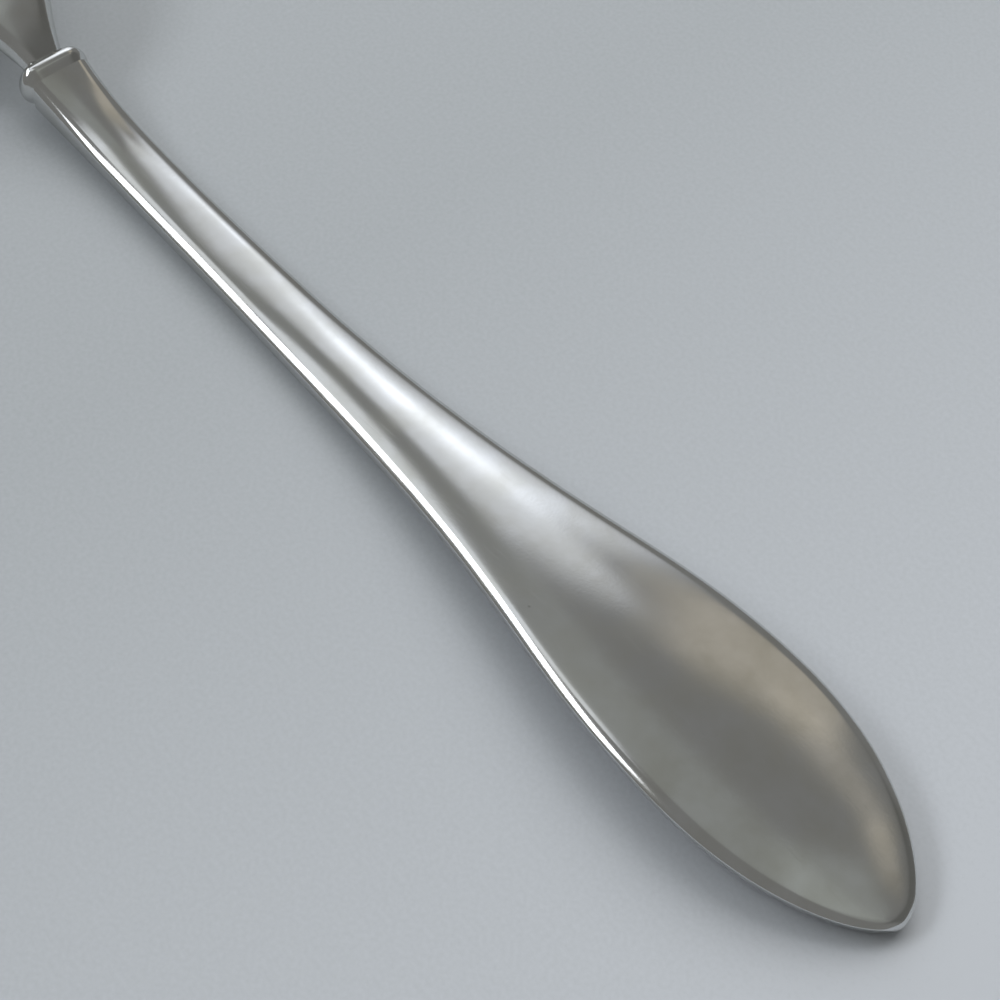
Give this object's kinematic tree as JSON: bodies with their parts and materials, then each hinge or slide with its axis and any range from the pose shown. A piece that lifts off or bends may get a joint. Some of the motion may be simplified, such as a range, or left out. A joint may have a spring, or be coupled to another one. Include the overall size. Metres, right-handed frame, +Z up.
{
  "type": "salad fork",
  "caption": "Stainless table fork lying on its face: dished head with tapering tines, beaded collar at the neck, slim stem widening into a long paddle handle.",
  "frame": {"origin": "middle of the fork's length and width, on the table that it lies on face down", "axes": "+X along the fork to the round end of the handle, +Y across it, +Z up, out of the back of the handle"},
  "size_m": [0.1724, 0.025, 0.0134],
  "materials": {
    "stainless_steel": "polished stainless steel, worn to a satin gloss by fine scratches"
  },
  "bodies": {
    "root": {"fork_head": "stainless_steel", "collar": "stainless_steel", "handle": "stainless_steel"}
  },
  "joints": []
}
